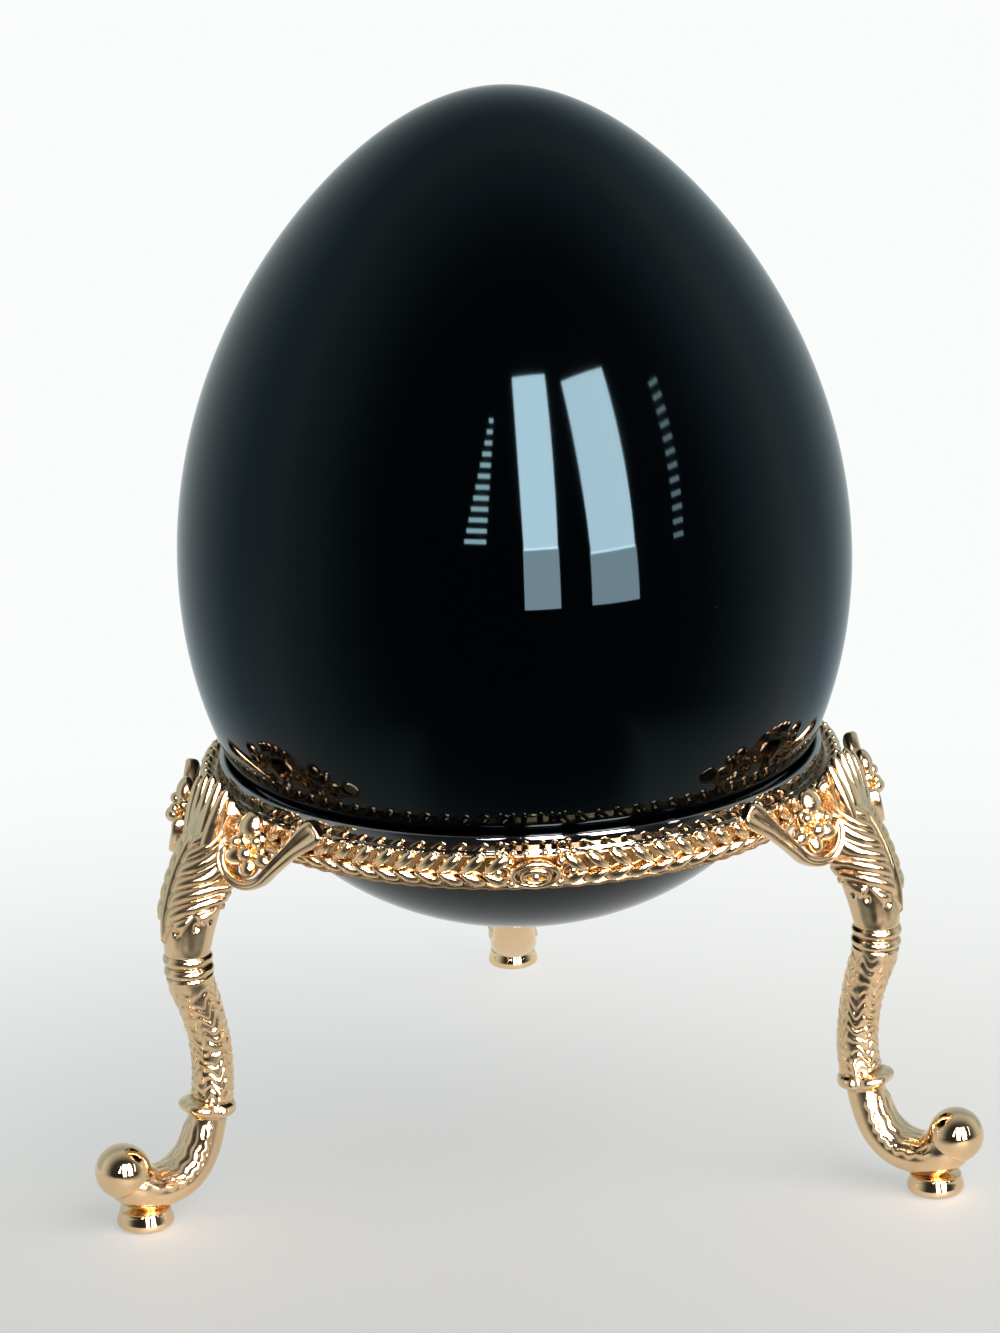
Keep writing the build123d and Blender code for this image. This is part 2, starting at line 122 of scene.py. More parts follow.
# Scroll brackets
HOOK_OUT = 4.2
HOOK_DROP = 3.1
HOOK_RADIUS = 2.3
HOOK_TURN = 140.0
HOOK_TAIL = 25.0
SCROLL_NEAR_ANGLE = 4.0
SCROLL_NEAR_OUT = 4.6
SCROLL_FAR_ANGLE = 22.7
SCROLL_FAR_OUT = 0.95
SCROLL_TIP_RISE = 0.2
SCROLL_LEAN = 12.0
STRAP_WIDTH = 2.1
STRAP_THICKNESS = 0.95
STRAP_BEND = 0.36
STRAP_END = 0.06
STRAP_INSET = 0.02
STRAP_NARROWS = 0.25
STRAP_THICKENS = 0.26
STRAP_SPREAD = 0.36
STRAP_GROOVE = 0.34
STRAP_SQUARE = 0.6

# Flower in the hook; its petals' turn is in radians
FLOWER_OUT = 4.5
FLOWER_DROP = 2.6
CREST_RISE = 2.3
PETALS = 5
PETAL_OUT = 1.15
PETAL_TURN = -0.35
PETAL_UNEVEN = 0.15
PETAL_FACETS = (18, 12)
# Beads of the flower: along, up and out from its heart, radius and facets
FLOWER_BEADS = (
    (0.0, 0.0, 0.9, 0.72, (16, 12)),
    (0.9, 1.2, 0.85, 0.55, (14, 10)),
    (-1.1, 0.9, 0.85, 0.5, (14, 10)),
)


def egg_swell(share):
    """Half width of the egg's outline at a share of its half length, -1 below to 1 on top."""
    taper = 1 + EGG_TAPER * share + EGG_FLATTEN * share**2 + EGG_POINT * share**3
    return math.sqrt(max(0, 1 - share**2)) * taper


EGG_FULLEST = max(egg_swell(step / 100) for step in range(-99, 100))


def egg_radius(height):
    """Radius of the egg at a height above the floor."""
    return EGG_WIDTH / 2 * egg_swell(2 * (height - EGG_BOTTOM) / EGG_LENGTH - 1) / EGG_FULLEST


RING_BOTTOM = LIP_TOP - RING_DEPTH
LIP_OUTER = egg_radius(LIP_TOP) + SEAT_CLEARANCE + LIP_WIDTH
RING_INNER_FOOT = egg_radius(RING_BOTTOM) + RING_RELIEF
RING_OUTER_FOOT = RING_INNER_FOOT + RING_FOOT_WIDTH
RING_SHOULDER = LIP_TOP - LIP_HEIGHT
BAND_RISE = LIP_TOP - BAND_DROP - RING_BOTTOM
BAND_FOOT = RING_OUTER_FOOT + BAND_THICKNESS
BAND_OUTER_TOP = BAND_FOOT + BAND_FLARE
RING_OUTER_SHOULDER = RING_OUTER_FOOT + BAND_FLARE / BAND_RISE * (RING_SHOULDER - RING_BOTTOM)
BOSS_FACE = BAND_OUTER_TOP + BOSS_PROUD
PAD_CIRCLE = BOSS_FACE + FOOT_REACH
SPAN_MIDDLES = [azimuth + 180 for azimuth in LEG_AZIMUTHS.values()]


# Curves that the shapes are drawn with
def ease(low, high, value):
    """Smooth step from 0 at low to 1 at high."""
    share = min(1, max(0, (value - low) / (high - low)))
    return share * share * (3 - 2 * share)


def swell(value, centre, spread):
    """Soft bump of height 1 round a centre."""
    return math.exp(-(((value - centre) / spread) ** 2))


def zigzag(phase):
    """Straight fall and rise between 1 and 0, once for each whole step of the phase."""
    return abs(2 * (phase - math.floor(phase)) - 1)


def ridge(phase, sharpness):
    """Rounded ridges of height 1, one for each whole step of the phase, with narrow valleys."""
    return 1 - zigzag(phase) ** sharpness


def polar(azimuth, out, height):
    """Point at a distance out from the egg's axis."""
    turn = math.radians(azimuth)
    return Vector((out * math.cos(turn), out * math.sin(turn), height))


def arc_points(centre, radius, start, end, steps):
    """Points along an arc."""
    for step in range(steps + 1):
        turn = math.radians(start + (end - start) * step / steps)
        yield centre[0] + radius * math.cos(turn), centre[1] + radius * math.sin(turn)


def basis(origin, along, out):
    """Matrix with local Z along a direction and local Y as near as can be to another."""
    z = Vector(along).normalized()
    x = Vector(out).cross(z).normalized()
    y = z.cross(x)
    return Matrix.Translation(origin) @ Matrix((x, y, z)).transposed().to_4x4()


# Simple forms
def rolled_skin(bm, around, along, place):
    """A grid rolled up and moved into place; where its edges meet, they are joined."""
    verts = bmesh.ops.create_grid(bm, x_segments=around, y_segments=along, size=0.5)["verts"]
    for vert in verts:
        vert.co = place(vert.co.x + 0.5, vert.co.y + 0.5)
    bmesh.ops.remove_doubles(bm, verts=verts, dist=MERGE)


def lathe(bm, profile, steps, out=0.0):
    """A closed profile of (radius, height) spun about an upright axis at a distance out on +X."""
    verts = [bm.verts.new((out + radius, 0, height)) for radius, height in profile]
    edges = [bm.edges.new(pair) for pair in zip(verts, verts[1:] + verts[:1])]
    bmesh.ops.spin(
        bm, geom=verts + edges, cent=(out, 0, 0), axis=(0, 0, 1), angle=math.tau, steps=steps,
        use_merge=True,
    )
    bmesh.ops.remove_doubles(bm, verts=bm.verts, dist=MERGE)


def leaf_drop(bm, where, length, width, height, pinch=0.75, facets=SMALL_FACETS):
    """A rounded leaf or petal along local Z, drawn in to a tip at its upper end."""
    around, along = facets
    verts = bmesh.ops.create_uvsphere(bm, u_segments=around, v_segments=along, radius=0.5)["verts"]
    for vert in verts:
        draw = 1 - pinch * max(0, vert.co.z)
        vert.co.x *= draw
        vert.co.y *= draw
    bmesh.ops.scale(bm, vec=(width, height, length), verts=verts)
    bmesh.ops.transform(bm, matrix=where, verts=verts)


def bead(bm, centre, radius, facets=(10, 7)):
    """A round bead; gives back its vertices."""
    around, along = facets
    verts = bmesh.ops.create_uvsphere(bm, u_segments=around, v_segments=along, radius=radius)["verts"]
    bmesh.ops.translate(bm, vec=centre, verts=verts)
    return verts


def finish_piece(bm, name, body, material, node=None, turn=0.0, polished=None):
    """Turn a mesh about the egg's axis, bring it to metres and make it a piece of the part.

    Faces with material index 1 take the polished finish."""
    turned = Matrix.Rotation(math.radians(turn), 3, "Z")
    bmesh.ops.rotate(bm, cent=(0, 0, 0), matrix=turned, verts=bm.verts)
    bmesh.ops.scale(bm, vec=(MM, MM, MM), verts=bm.verts)
    bmesh.ops.recalc_face_normals(bm, faces=bm.faces)
    for face in bm.faces:
        face.smooth = True
    mesh = bpy.data.meshes.new(name)
    bm.to_mesh(mesh)
    bm.free()
    mesh.materials.append(material)
    if polished:
        mesh.materials.append(polished)
    piece = bpy.data.objects.new(name, mesh)
    bpy.context.scene.collection.objects.link(piece)
    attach(piece, body)
    if node:
        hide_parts(node)


def place_three(bm, name, material, node, polished=None):
    """The three copies of a piece modelled over +X, each turned to its leg."""
    for leg_name, leg_azimuth in LEG_AZIMUTHS.items():
        finish_piece(
            bm.copy(), name.format(leg_name), "stand", material, node.format(leg_name),
            turn=leg_azimuth, polished=polished,
        )
    bm.free()


# Nodes of the finishes; what is added to a tree is given back as the socket that it ends in
def new_finish(name):
    """A material with its node tree, its shader and the place on a piece."""
    material = bpy.data.materials.new(name)
    material.use_nodes = True
    tree = material.node_tree
    place = tree.nodes.new("ShaderNodeTexCoord").outputs["Object"]
    return material, tree, tree.nodes["Principled BSDF"], place


def colour_ramp(tree, value, stops):
    """Colours for a value, from (place, colour) stops."""
    ramp = tree.nodes.new("ShaderNodeValToRGB")
    while len(ramp.color_ramp.elements) < len(stops):
        ramp.color_ramp.elements.new(0.5)
    for element, (place, colour) in zip(ramp.color_ramp.elements, stops):
        element.position = place
        element.color = (*colour, 1)
    tree.links.new(value, ramp.inputs["Fac"])
    return ramp.outputs["Color"]


def noise(tree, place, scale, detail=3.0):
    """A cloudy pattern over a piece."""
    texture = tree.nodes.new("ShaderNodeTexNoise")
    texture.inputs["Scale"].default_value = scale
    texture.inputs["Detail"].default_value = detail
    tree.links.new(place, texture.inputs["Vector"])
    return texture.outputs["Fac"]


def join_values(tree, operation, first, second):
    """Two values taken together."""
    node = tree.nodes.new("ShaderNodeMath")
    node.operation = operation
    tree.links.new(first, node.inputs[0])
    tree.links.new(second, node.inputs[1])
    return node.outputs["Value"]


def join_vector(tree, operation, vector, fixed=(0, 0, 0), result="Value"):
    """A vector taken together with a fixed one."""
    node = tree.nodes.new("ShaderNodeVectorMath")
    node.operation = operation
    node.inputs[1].default_value = fixed
    tree.links.new(vector, node.inputs[0])
    return node.outputs[result]


def map_range(tree, value, source, target=(0.0, 1.0), kind="SMOOTHSTEP"):
    """A value carried from one range to another, and held at its ends."""
    node = tree.nodes.new("ShaderNodeMapRange")
    node.interpolation_type = kind
    node.inputs["From Min"].default_value = source[0]
    node.inputs["From Max"].default_value = source[1]
    node.inputs["To Min"].default_value = target[0]
    node.inputs["To Max"].default_value = target[1]
    tree.links.new(value, node.inputs["Value"])
    return node.outputs["Result"]


def mix_shaders(tree, share, first, second):
    """From the first shader to the second by a share."""
    node = tree.nodes.new("ShaderNodeMixShader")
    tree.links.new(share, node.inputs["Fac"])
    tree.links.new(first, node.inputs[1])
    tree.links.new(second, node.inputs[2])
    return node.outputs["Shader"]


def grey(value):
    """A colour without a tint."""
    return (value, value, value)


# Finishes: colours from the darker to the lighter, and grain sizes as scales of the noise
GOLD = ((0.79, 0.56, 0.325), (0.87, 0.635, 0.38))
# Gold darkened to about half: painted shade for the band's ground behind the leaves, with some tarnish
SHADED_GOLD = ((0.4, 0.26, 0.135), (0.5, 0.34, 0.18))
# Nickel darkened well below its own tone: painted dark reflection for the seat ring's lip
NICKEL = ((0.23, 0.225, 0.215), (0.31, 0.305, 0.29))
STEEL = (grey(0.42), grey(0.6))
PAPER = ((0.42, 0.41, 0.385), (0.46, 0.45, 0.425))
GLASS_BLACK = (0.0005, 0.0008, 0.0013)
DUST_GREY = (0.16, 0.165, 0.16)
GLASS_BEND = 1.25
GLASS_TINT = (0.5, 0.86, 1.0, 1)
SPECK_GRAIN = 420
DUST_GRAIN = 150
GLASS_GRAIN = 45
STEEL_GRAIN = 2500
NICKEL_GRAIN = 300
PAPER_GRAIN = 9
TINT_GRAIN = 260
POLISH_GRAIN = 900
DENT_GRAIN = 700
DENT_STRENGTH = 0.12
DENT_DEPTH = 0.0001


def grained_colour(tree, pattern, colours):
    """A colour that changes slightly with a pattern."""
    darker, lighter = colours
    return colour_ramp(tree, pattern, [(0.3, darker), (0.7, lighter)])


def rubbed(tree, pattern, finest, dullest, start=0.35):
    """A polish that changes slightly with a pattern."""
    return colour_ramp(tree, pattern, [(start, grey(finest)), (0.75, grey(dullest))])


def gilt_finish(name, roughness, painted_hollow_shade, colours=GOLD):
    """Polished gold plate: slight changes of colour and polish, and painted shade that makes the hollows
    browner.
    """
    material, tree, shader, place = new_finish(name)
    tint = grained_colour(tree, noise(tree, place, TINT_GRAIN), colours)
    # Painted shade: where the surface curves inward (low pointiness), the colour is multiplied down
    # towards the hollow shade colour
    bend = tree.nodes.new("ShaderNodeNewGeometry").outputs["Pointiness"]
    shade = colour_ramp(tree, bend, [(0.42, painted_hollow_shade), (0.5, grey(1))])
    both = tree.nodes.new("ShaderNodeMix")
    both.data_type = "RGBA"
    both.blend_type = "MULTIPLY"
    both.inputs["Factor"].default_value = 1.0
    tree.links.new(tint, both.inputs["A"])
    tree.links.new(shade, both.inputs["B"])
    tree.links.new(both.outputs["Result"], shader.inputs["Base Color"])
    grain = noise(tree, place, POLISH_GRAIN, detail=4.0)
    polish = rubbed(tree, grain, roughness * 0.7, roughness * 1.4, start=0.3)
    tree.links.new(polish, shader.inputs["Roughness"])
    dents = tree.nodes.new("ShaderNodeBump")
    dents.inputs["Strength"].default_value = DENT_STRENGTH
    dents.inputs["Distance"].default_value = DENT_DEPTH
    tree.links.new(noise(tree, place, DENT_GRAIN, detail=2.0), dents.inputs["Height"])
    tree.links.new(dents.outputs["Normal"], shader.inputs["Normal"])
    shader.inputs["Metallic"].default_value = 1.0
    return material


def black_glass():
    """Opaque polished black glass with a trace of dust and faint rubbing."""
    material, tree, shader, place = new_finish("black_glass")
    specks = tree.nodes.new("ShaderNodeTexVoronoi")
    specks.inputs["Scale"].default_value = SPECK_GRAIN
    tree.links.new(place, specks.inputs["Vector"])
    few = colour_ramp(tree, specks.outputs["Distance"], [(0.02, grey(1)), (0.05, grey(0))])
    patch = colour_ramp(tree, noise(tree, place, DUST_GRAIN), [(0.60, grey(0)), (0.70, grey(1))])
    dust = join_values(tree, "MULTIPLY", few, patch)
    colour = colour_ramp(tree, dust, [(0.0, GLASS_BLACK), (1.0, DUST_GREY)])
    tree.links.new(colour, shader.inputs["Base Color"])
    rub = rubbed(tree, noise(tree, place, GLASS_GRAIN, detail=6.0), finest=0.02, dullest=0.06)
    tree.links.new(rub, shader.inputs["Roughness"])
    shader.inputs["IOR"].default_value = GLASS_BEND
    shader.inputs["Specular Tint"].default_value = GLASS_TINT
    return material


def bright_steel():
    """Bright steel with fine turning marks."""
    material, tree, shader, place = new_finish("bright_steel")
    tone = grained_colour(tree, noise(tree, place, STEEL_GRAIN), STEEL)
    tree.links.new(tone, shader.inputs["Base Color"])
    shader.inputs["Metallic"].default_value = 1.0
    shader.inputs["Roughness"].default_value = 0.3
    return material


def bright_nickel():
    """Polished nickel with faint rubbing, its colour darkened to paint in the dark reflections of the
    ring's lip.
    """
    material, tree, shader, place = new_finish("bright_nickel")
    tone = grained_colour(tree, noise(tree, place, NICKEL_GRAIN), NICKEL)
    tree.links.new(tone, shader.inputs["Base Color"])
    rub = rubbed(tree, noise(tree, place, POLISH_GRAIN, detail=4.0), finest=0.03, dullest=0.07)
    tree.links.new(rub, shader.inputs["Roughness"])
    shader.inputs["Metallic"].default_value = 1.0
    return material


# The third value of each gilt finish is the colour of the painted shade multiplied into its hollows
GILT_CAST = gilt_finish("gilt_cast", 0.16, (0.48, 0.41, 0.33))
GILT_PLAIN = gilt_finish("gilt_plain", 0.07, (0.5, 0.4, 0.32))
# Darker gilt for the band's ground: painted shade between and behind the leaves, with some tarnish
GILT_PAINTED_SHADE = gilt_finish("gilt_painted_shade", 0.28, (0.6, 0.5, 0.4), SHADED_GOLD)
BLACK_GLASS = black_glass()
BRIGHT_STEEL = bright_steel()
BRIGHT_NICKEL = bright_nickel()


# Egg and seat ring
def egg_point(turn, share):
    """Point on the egg's skin, with a share from its bottom to its tip."""
    height = EGG_BOTTOM + EGG_LENGTH * (1 - math.cos(math.pi * share)) / 2
    return polar(360 * turn, egg_radius(height), height)


def build_egg():
    """The whole egg."""
    bm = bmesh.new()
    rolled_skin(bm, around=192, along=112, place=egg_point)
    return bm


def build_ring():
    """A plain ring with a rounded lip."""
    bm = bmesh.new()
    half = LIP_WIDTH / 2
    profile = [
        (RING_INNER_FOOT, RING_BOTTOM),
        (RING_OUTER_FOOT, RING_BOTTOM),
        (RING_OUTER_SHOULDER - RING_ROUND, RING_SHOULDER - RING_ROUND),
        (LIP_OUTER, RING_SHOULDER - LIP_STEP),
        (LIP_OUTER, RING_SHOULDER + LIP_STEP),
        (LIP_OUTER, LIP_TOP - LIP_WIDTH),
        *arc_points((LIP_OUTER - half, LIP_TOP - half), half, start=0, end=180, steps=10),
    ]
    lathe(bm, profile, steps=240)
    return bm


# Laurel band, with the outline of its ground: (across, lift off the face, share of the scallops)
GROUND_OUTLINE = (
    (0.0, -BAND_THICKNESS, 0.0),
    (0.62, -BAND_THICKNESS, 0.0),
    (0.7, -0.8, 0.0),
    (0.98, -0.35, 0.0),
    (0.9, -0.24, 0.0),
    (0.16, -0.2, 0.0),
    (0.11, 0.05, 0.0),
    (0.06, 0.2, 0.1),
    (0.0, 0.24, 0.12),
    (-0.03, 0.1, 0.0),
    (-0.02, -0.4, 0.0),
    (0.0, -BAND_THICKNESS, 0.0),
)


def band_spot(azimuth, across, lift=0.0):
    """Point over the band's face, lifted off it."""
    slope = math.hypot(BAND_RISE, BAND_FLARE)
    radius = BAND_FOOT + BAND_FLARE * across + lift * BAND_RISE / slope
    height = RING_BOTTOM + BAND_RISE * across - lift * BAND_FLARE / slope
    return polar(azimuth, radius, height)


def band_axes(azimuth):
    """Directions along the band, up its face and out from it."""
    along = polar(azimuth + 90, 1, 0)
    up = (band_spot(azimuth, 1) - band_spot(azimuth, 0)).normalized()
    return along, up, along.cross(up)


def ground_point(turn, share):
    """Band's ground: a thin ring with a scalloped rolled rim along its foot."""
    azimuth = 360 * turn
    wave = 0.5 + 0.5 * math.cos(math.radians(azimuth) * RIM_SCALLOPS)
    place = share * (len(GROUND_OUTLINE) - 1)
    index = min(int(place), len(GROUND_OUTLINE) - 2)
    part = place - index
    ends = zip(GROUND_OUTLINE[index], GROUND_OUTLINE[index + 1])
    across, lift, scallop = (low * (1 - part) + high * part for low, high in ends)
    return band_spot(azimuth, across, lift + scallop * wave)


def build_ground():
    """The ring that the leaves lie on."""
    bm = bmesh.new()
    rolled_skin(bm, around=576, along=len(GROUND_OUTLINE) - 1, place=ground_point)
    return bm


def build_leaves():
    """Two rows of slanting leaves over each half span, with a berry above each pair."""
    bm = bmesh.new()
    step_angle = math.degrees(LEAF_PITCH / ((BAND_FOOT + BAND_OUTER_TOP) / 2))
    slant = math.radians(LEAF_SLANT)
    tilt = math.tan(math.radians(LEAF_TILT))
    for middle in SPAN_MIDDLES:
        for hand in (-1, 1):
            for index in range(LEAVES_PER_HALF_SPAN):
                azimuth = middle + hand * (LEAF_START - index * step_angle)
                along, up, out = band_axes(azimuth)
                for side in (-1, 1):
                    heading = along * hand * math.cos(slant) - up * side * math.sin(slant) + out * tilt
                    spot = band_spot(azimuth, LEAF_MIDDLE + LEAF_ROW * side)
                    leaf_drop(bm, basis(spot, heading, out), LEAF_LENGTH, LEAF_WIDTH, LEAF_HEIGHT)
                berry = band_spot(azimuth - hand * step_angle * BERRY_SHIFT, BERRY_ACROSS, BERRY_LIFT)
                bead(bm, berry, BERRY_RADIUS, SMALL_FACETS)
    return bm


def oval_ring(bm, centre, axes, width, height, thick):
    """A raised oval ring lying on the band's face."""
    along, up, out = axes

    def ring_point(turn, share):
        angle = math.tau * turn
        roll = math.tau * share
        swing = thick * math.cos(roll)
        spot = centre + along * math.cos(angle) * (width / 2 + swing)
        spot += up * math.sin(angle) * (height / 2 + swing)
        return spot + out * thick * OVAL_RISE * math.sin(roll)

    rolled_skin(bm, around=40, along=10, place=ring_point)


def build_medallions():
    """In the middle of each span two oval rings on a boss, flanked by small rings and berries."""
    bm = bmesh.new()
    for middle in SPAN_MIDDLES:
        axes = band_axes(middle)
        along, _, out = axes
        face = band_spot(middle, MEDALLION_ACROSS, 0.1)
        for share, lift in MEDALLION_RINGS:
            width = MEDALLION_WIDTH * share
            height = MEDALLION_HEIGHT * share
            oval_ring(bm, face + out * lift, axes, width, height, MEDALLION_RING)
        boss = basis(face + out * 0.2, along, out)
        leaf_drop(bm, boss, length=3.2, width=2.2, height=0.5, pinch=0.0, facets=(16, 10))
        bead(bm, face + out * 0.5, radius=0.5)
        for hand in (-1, 1):
            side = middle + hand * FLANK_ANGLE
            spot = band_spot(side, FLANK_ACROSS, 0.15)
            oval_ring(bm, spot, band_axes(side), width=2.0, height=1.9, thick=FLANK_RING)
            bead(bm, band_spot(side, FLANK_ACROSS, 0.2), radius=0.45)
            for share in FLANK_BERRIES:
                berry = band_spot(middle + hand * FLANK_ANGLE * share, 1.04, -0.3)
                bead(bm, berry, BERRY_RADIUS, SMALL_FACETS)
            for low in (-1, 1):
                across = MEDALLION_ACROSS + CORNER_ACROSS * low
                corner = band_spot(middle + hand * CORNER_ANGLE, across, 0.1)
                bead(bm, corner, CORNER_RADIUS, SMALL_FACETS)
    return bm


# Legs: stations down the leg's line, each (distance out, height, width, depth)
LEG_LINE = (
    (30.95, 38.3, 0.6, 0.3),
    (31.0, 38.1, 3.6, 1.5),
    (31.1, 37.2, 4.7, 2.5),
    (31.25, 36.2, 4.9, 3.2),
    (31.6, 34.6, 4.9, 3.8),
    (32.07, 33.1, 4.95, 4.2),
    (32.7, 31.5, 5.0, 4.8),
    (33.32, 30.0, 5.0, 5.0),
    (33.9, 28.5, 4.9, 4.9),
    (34.32, 27.1, 4.75, 4.75),
    (34.58, 25.5, 4.35, 4.35),
    (34.67, 24.2, 4.0, 4.0),
    (34.6, 22.6, 3.85, 3.85),
    (34.45, 21.4, 3.65, 3.65),
    (33.77, 19.2, 3.4, 3.4),
    (33.3, 17.2, 3.25, 3.25),
    (32.97, 15.38, 3.2, 3.2),
    (32.85, 13.7, 3.2, 3.2),
    (32.87, 12.15, 3.25, 3.25),
    (33.05, 10.7, 3.35, 3.3),
    (33.37, 9.5, 3.5, 3.35),
    (33.95, 7.4, 3.8, 3.4),
    (34.55, 5.85, 4.1, 3.4),
    (35.4, 4.6, 4.4, 3.4),
    (36.82, 3.55, 4.7, 3.4),
    (38.72, 3.15, 4.75, 3.5),
    (40.22, 3.4, 4.75, 3.9),
    (41.3, 4.3, 4.7, 4.3),
    (42.0, 5.2, 3.6, 3.6),
    (42.1, 5.5, 0.4, 0.4),
)

# Relief on the legs: the heights it lies between, and the sizes of its forms
PLAIN_END = 2.0
KNEE_FOOT = 24.4
KNEE_LEAF_FOOT = 25.2
KNEE_LEAF_RISE = 0.14
LOBE_ANGLE = 46.0
LOBE_DEPTH = 1.3
FLUTE_PITCH = 1.2
FLUTE_DEPTH = 0.36
MIDRIB_HEIGHT = 0.27
MIDRIB_SPREAD = 7.0
FLARE_ANGLE = 116.0
FLARE_SPREAD = 18.0
FLARE_HEIGHT = 0.3
FLARE_PITCH = 1.5
KNEE_PITS = ((34, 26.3), (78, 27.0), (112, 27.6))
PIT_DEPTH = 0.3
NECK_BEAD_HEIGHTS = (23.68, 22.63)
NECK_BEAD = 0.52
NECK_RADIUS = 1.68
SHANK_TOP = 22.6
SHANK_FOOT = 9.8
SHANK_RISE = 0.2
MARK_PITCH = 0.95
MARK_ANGLE = 40.0
MARK_DEPTH = 0.19
COLLAR_TOP = 12.0
COLLAR_OUT = 37.5
COLLAR_HEIGHT = 9.5
COLLAR_HALF = 0.6
COLLAR_RISE = 0.66
COLLAR_TILT = 0.2
EAR_ANGLE = 22.0
EAR_SPREAD = 34.0
EAR_RISE = 0.4
TIP_ANGLE = 80.0
TIP_RISE = 0.3
CURL_TOP = 8.9
CURL_BEND_OUT = 34.4
CURL_EDGE = 68.0
TOOTH_DEPTH = 8.0
TOOTH_PITCH = 1.35
VEIN_ANGLE = 23.0


@lru_cache(maxsize=None)
def smooth_through(stations, share):
    """Station and its direction at a share of the way, on a curve through all the stations."""
    place = share * (len(stations) - 1)
    index = min(int(place), len(stations) - 2)
    part = place - index
    p0, p1, p2, p3 = (
        Vector(stations[min(max(index + shift, 0), len(stations) - 1)]) for shift in (-1, 0, 1, 2)
    )
    bend1 = (p2 - p0) / 2
    bend2 = (p3 - p1) / 2
    square = part**2
    cube = part**3
    spot = p1 * (2 * cube - 3 * square + 1) + bend1 * (cube - 2 * square + part)
    spot += p2 * (3 * square - 2 * cube) + bend2 * (cube - square)
    run = (p1 - p2) * (6 * square - 6 * part) + bend1 * (3 * square - 4 * part + 1)
    run += bend2 * (3 * square - 2 * part)
    return spot, run


def knee_relief(angle, height):
    """Acanthus leaf over the knee: midrib, slanting flutes, a flared edge and a lobed lower end."""
    side = abs(angle)
    lower = KNEE_LEAF_FOOT + LOBE_DEPTH * zigzag(side / LOBE_ANGLE + 0.5) + 0.022 * side
    leaf = ease(lower - 0.15, lower + 0.3, height) * ease(140, 122, side) * ease(38.4, 37.4, height)
    rise = side * (0.025 + 0.005 * max(0, height - 31))
    flutes = FLUTE_DEPTH * ridge((height - rise) / FLUTE_PITCH, 1.9) * ease(8, 20, side)
    flutes *= ease(25.8, 27.2, height) * ease(35.2, 33.4, height)
    midrib = MIDRIB_HEIGHT * swell(side, 0, MIDRIB_SPREAD) * ease(34.5, 33.0, height)
    flare = FLARE_HEIGHT * (1 + ridge(height / FLARE_PITCH, 2.0))
    flare *= swell(side, FLARE_ANGLE, FLARE_SPREAD) * ease(28, 31, height)
    pits = 0.0
    for pit_angle, pit_height in KNEE_PITS:
        pits -= PIT_DEPTH * swell(side, pit_angle, 6) * swell(height, pit_height, 0.3)
    facets = 0.03 * math.cos(math.radians(10 * angle)) * ease(KNEE_FOOT, 25, height) * (1 - leaf)
    return leaf * (KNEE_LEAF_RISE + flutes + midrib + flare) + pits + facets


def shank_relief(angle, height):
    """Low worn leaf marks down the shank."""
    turn = math.radians(angle)
    fade = ease(SHANK_FOOT, SHANK_FOOT + 0.6, height) * ease(SHANK_TOP, SHANK_TOP - 0.4, height)
    row = height / MARK_PITCH + 0.5 * zigzag(angle / MARK_ANGLE) + 0.35 * math.sin(6 * turn + height)
    worn = 0.6 + 0.4 * math.sin(3.7 * height + 7 * turn) * math.cos(5 * turn - 1.7 * height)
    marks = MARK_DEPTH * (ridge(row, 1.4) - 0.5)
    return fade * (SHANK_RISE + worn * marks * ease(22.0, 21.0, height))


def collar_relief(angle, gap):
    """Ankle collar: thick in front with a rounded ear, pinched at each side under a leaf tip."""
    side = abs(angle)
    drop = gap - COLLAR_TILT * math.cos(math.radians(angle))
    ring = math.sqrt(max(0, 1 - (drop / COLLAR_HALF) ** 2))
    ring *= COLLAR_RISE + EAR_RISE * swell(side, EAR_ANGLE, EAR_SPREAD)
    tip = TIP_RISE * swell(side, TIP_ANGLE, 4 + 5 * ease(0.0, -1.6, gap))
    tip *= ease(0.5, 0.1, gap) * ease(-2.6, -1.4, gap)
    return ring * (1 - 0.7 * swell(side, TIP_ANGLE, 11)) + tip


def curl_relief(angle, run):
    """Long leaf over the curl, smooth inside a raised toothed edge."""
    side = abs(angle)
    edge = CURL_EDGE + TOOTH_DEPTH * zigzag(run / TOOTH_PITCH)
    leaf = ease(edge + 5, edge - 5, side)
    veins = 0.1 * ridge(side / VEIN_ANGLE + 0.12 * math.sin(run * 2.2) + 0.5, 1.8)
    return ease(0.6, 1.8, run) * (leaf * (0.12 + veins) + 0.1 * swell(side, edge - 7, 7))


def leg_relief(angle, out, height, width):
    """How far the leg's skin stands off its plain line; angle 0 looks straight out."""
    if width < PLAIN_END:
        return 0.0
    relief = 0.0
    if height > KNEE_FOOT:
        relief = knee_relief(angle, height)
    elif SHANK_FOOT < height < SHANK_TOP:
        relief = shank_relief(angle, height)
    for level in NECK_BEAD_HEIGHTS:
        gap = (height - level) / NECK_BEAD
        if abs(gap) < 1:
            relief = NECK_RADIUS + NECK_BEAD * math.sqrt(1 - gap**2) - width / 2
    if height < COLLAR_TOP and out < COLLAR_OUT:
        relief += collar_relief(angle, COLLAR_HEIGHT - height)
    if height < CURL_TOP:
        run = CURL_TOP - height + 0.9 * max(0, out - CURL_BEND_OUT)
        relief += curl_relief(angle, run) * ease(41.4, 40.2, out)
    return relief


def leg_point(turn, share):
    """Point on the skin of the leg over +X."""
    (out, height, width, depth), run = smooth_through(LEG_LINE, 1 - share)
    ahead = Vector((run[0], 0, run[1])).normalized()
    front = Vector((-ahead.z, 0, ahead.x))
    across = Vector((0, 1, 0))
    angle = 360 * turn - 180
    cosine = math.cos(math.radians(angle))
    sine = math.sin(math.radians(angle))
    relief = leg_relief(angle, out, height, width)
    spot = Vector((out, 0, height)) + front * cosine * (depth / 2 + relief)
    return spot + across * sine * (width / 2 + relief)


